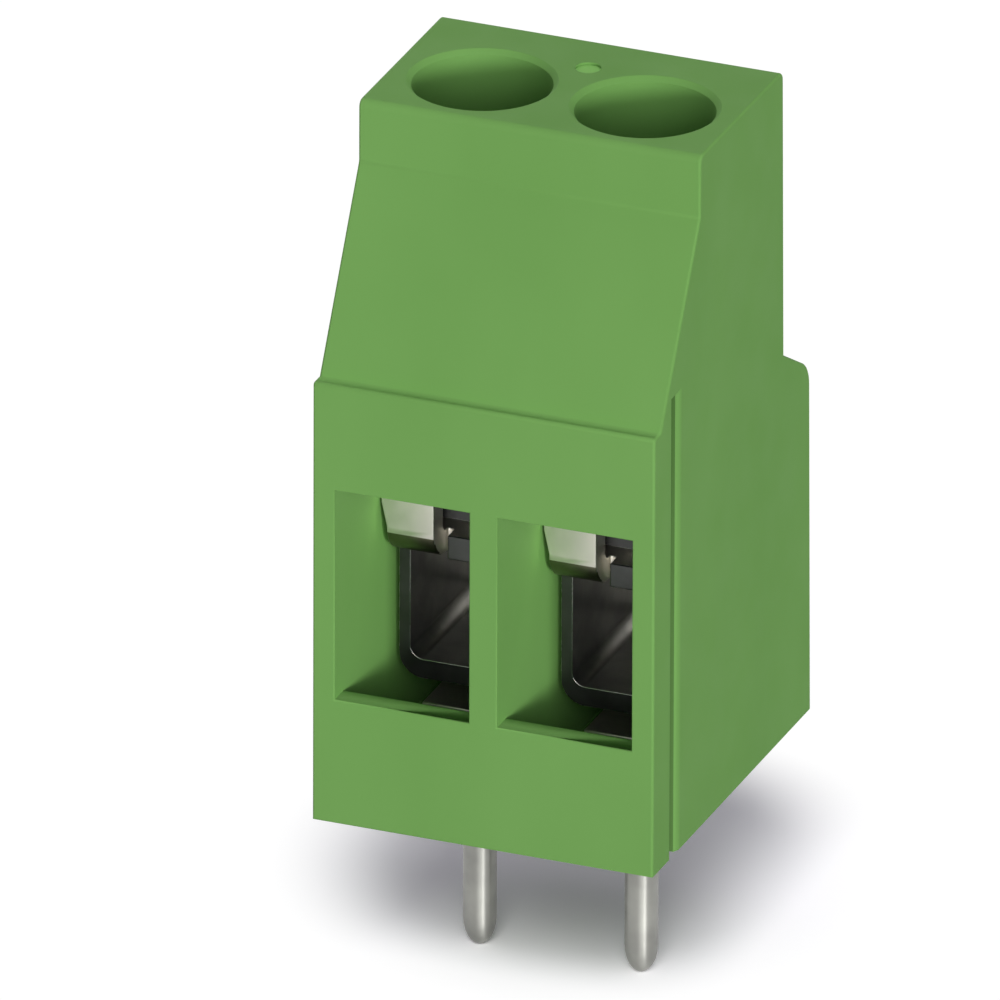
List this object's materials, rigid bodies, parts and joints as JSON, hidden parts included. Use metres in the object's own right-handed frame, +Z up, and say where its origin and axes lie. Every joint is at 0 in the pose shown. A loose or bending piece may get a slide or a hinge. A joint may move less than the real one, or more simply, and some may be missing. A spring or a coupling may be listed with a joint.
{
  "type": "pcb screw terminal",
  "caption": "Upright screw terminal for a circuit board: green housing with wire entries in front, screwdriver bores on top, rising clamp cages and round solder pins.",
  "frame": {"origin": "midway between the two solder pins, on the underside that sits on the board", "axes": "+X along the row of poles to the right, -Y out of the wire entries, +Z up along the screws"},
  "size_m": [0.0106, 0.0125, 0.0277],
  "materials": {
    "green_plastic": "satin moulded polyamide with a faint grain",
    "tinned_strip": "copper alloy strip, matt tin plated",
    "cage_steel": "zinc plated steel, dull",
    "screw_steel": "zinc plated steel, turned"
  },
  "bodies": {
    "block": {"housing": "green_plastic", "contact_left": "tinned_strip", "contact_right": "tinned_strip"},
    "left_screw": {"screw_left": "screw_steel"},
    "left_cage": {"cage_left": "cage_steel"},
    "right_screw": {"screw_right": "screw_steel"},
    "right_cage": {"cage_right": "cage_steel"}
  },
  "joints": [
    {"name": "left_screw_turn", "type": "hinge", "parent": "block", "child": "left_screw", "pos_m": [-0.00254, 0, 0.012], "axis": [0, 0, -1], "range_deg": [0, 2376]},
    {"name": "left_cage_rise", "type": "slide", "parent": "block", "child": "left_cage", "axis": [0, 0, 1], "range_m": [0, 0.0033]},
    {"name": "right_screw_turn", "type": "hinge", "parent": "block", "child": "right_screw", "pos_m": [0.00254, 0, 0.012], "axis": [0, 0, -1], "range_deg": [0, 2376]},
    {"name": "right_cage_rise", "type": "slide", "parent": "block", "child": "right_cage", "axis": [0, 0, 1], "range_m": [0, 0.0033]}
  ],
  "couplings": [
    {"joint": "left_screw_turn", "follows": "left_cage_rise", "rad_per_m": 12566},
    {"joint": "right_screw_turn", "follows": "right_cage_rise", "rad_per_m": 12566}
  ]
}
